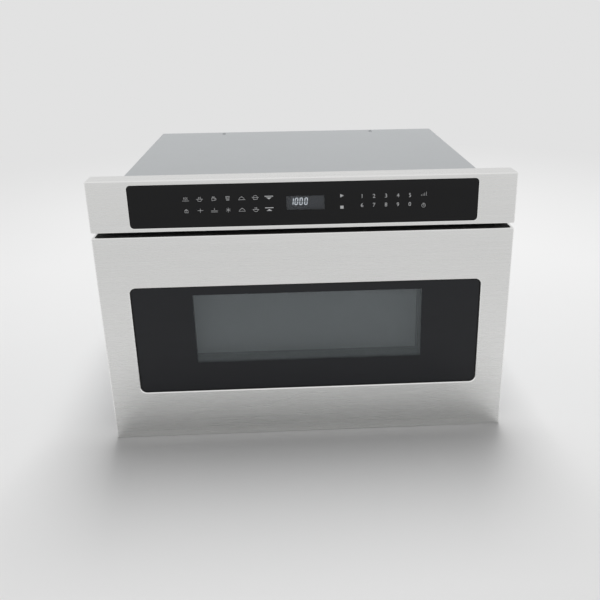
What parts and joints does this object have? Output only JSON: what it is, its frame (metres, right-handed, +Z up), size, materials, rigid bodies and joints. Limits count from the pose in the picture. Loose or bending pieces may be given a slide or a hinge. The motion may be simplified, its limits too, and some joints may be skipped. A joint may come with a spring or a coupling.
{
  "type": "microwave drawer",
  "caption": "Built-in microwave drawer: a steel front with a dark window slides out with the oven's tub on telescopic rails, driven by rack and pinion, under a glass control strip.",
  "frame": {"origin": "centre of the base's flat underside", "axes": "+Z up, -Y out of the front towards the user, +X to the right of someone facing the front"},
  "size_m": [0.6064, 0.5937, 0.4016],
  "materials": {
    "stainless": "brushed, satin",
    "galvanised": "galvanised sheet, dull",
    "enamel": "smooth baked paint",
    "control_glass": "polished, black behind",
    "window_glass": "polished, dark tint",
    "clear_glass": "polished, clear",
    "screen": "perforated sheet, matt",
    "black_plastic": "moulded, matt",
    "grey_plastic": "moulded, fine grain",
    "white_plastic": "moulded, satin",
    "ceramic": "smooth opaque glass-ceramic",
    "copper": "lacquered winding",
    "laminations": "varnished steel laminations",
    "aluminium": "satin",
    "circuit_board": "coated board",
    "mica": "mica sheet",
    "display": "display glass"
  },
  "bodies": {
    "body": {"base_pan": "galvanised", "outer_case": "galvanised", "rear_panel": "galvanised", "cord_gland": "black_plastic", "front_plate": "galvanised", "control_fascia": "stainless", "control_glass": "control_glass", "control_housing": "black_plastic", "control_board": "circuit_board", "display_module": "display", "cavity_shell": "enamel", "stirrer_cover": "mica", "stirrer_motor": "laminations", "waveguide": "galvanised", "magnetron_yoke": "galvanised", "magnetron_anode": "aluminium", "cavity_thermostat": "black_plastic", "lamp_holder": "galvanised", "lamp_bulb": "clear_glass", "transformer_core": "laminations", "transformer_winding": "copper", "capacitor": "aluminium", "capacitor_strap": "galvanised", "high_voltage_diode": "black_plastic", "noise_filter_board": "circuit_board", "fan_housing": "black_plastic", "fan_motor": "laminations", "left_rail_bracket": "galvanised", "right_rail_bracket": "galvanised", "left_outer_rail": "galvanised", "right_outer_rail": "galvanised", "drive_gearbox": "white_plastic", "drive_motor": "galvanised", "left_switch_bracket": "galvanised", "right_switch_bracket": "galvanised", "primary_switch": "black_plastic", "monitor_switch": "black_plastic", "secondary_switch": "black_plastic"},
    "drawer": {"drawer_front": "stainless", "window_glass": "window_glass", "window_surround": "grey_plastic", "window_screen": "screen", "door_frame": "galvanised", "inner_window": "clear_glass", "choke_cover": "black_plastic", "drawer_tub": "enamel", "glass_tray": "ceramic", "left_drawer_arm": "galvanised", "right_drawer_arm": "galvanised", "left_inner_rail": "galvanised", "right_inner_rail": "galvanised", "drive_rack": "white_plastic", "left_latch_hook": "black_plastic", "right_latch_hook": "black_plastic"},
    "middle_slides": {"left_middle_rail": "galvanised", "right_middle_rail": "galvanised"},
    "pinion": {"drive_pinion": "white_plastic"},
    "fan": {"fan_rotor": "white_plastic"},
    "stirrer": {"stirrer_fan": "aluminium"}
  },
  "joints": [
    {"name": "drawer_slide", "type": "slide", "parent": "body", "child": "drawer", "axis": [0, -1, 0], "range_m": [0, 0.381]},
    {"name": "middle_slide", "type": "slide", "parent": "body", "child": "middle_slides", "axis": [0, -1, 0], "range_m": [0, 0.1905]},
    {"name": "pinion_spin", "type": "hinge", "parent": "body", "child": "pinion", "pos_m": [0.193, -0.24985, 0.022], "axis": [1, 0, 0], "range_deg": [0, 1364.4]},
    {"name": "fan_spin", "type": "hinge", "parent": "body", "child": "fan", "pos_m": [-0.172, 0.253, 0.112], "axis": [0, 1, 0], "continuous": true},
    {"name": "stirrer_spin", "type": "hinge", "parent": "body", "child": "stirrer", "pos_m": [0, -0.06695, 0.27], "axis": [0, 0, 1], "continuous": true}
  ],
  "couplings": [
    {"joint": "middle_slide", "follows": "drawer_slide", "ratio": 0.5},
    {"joint": "pinion_spin", "follows": "drawer_slide", "rad_per_m": 62.5}
  ]
}
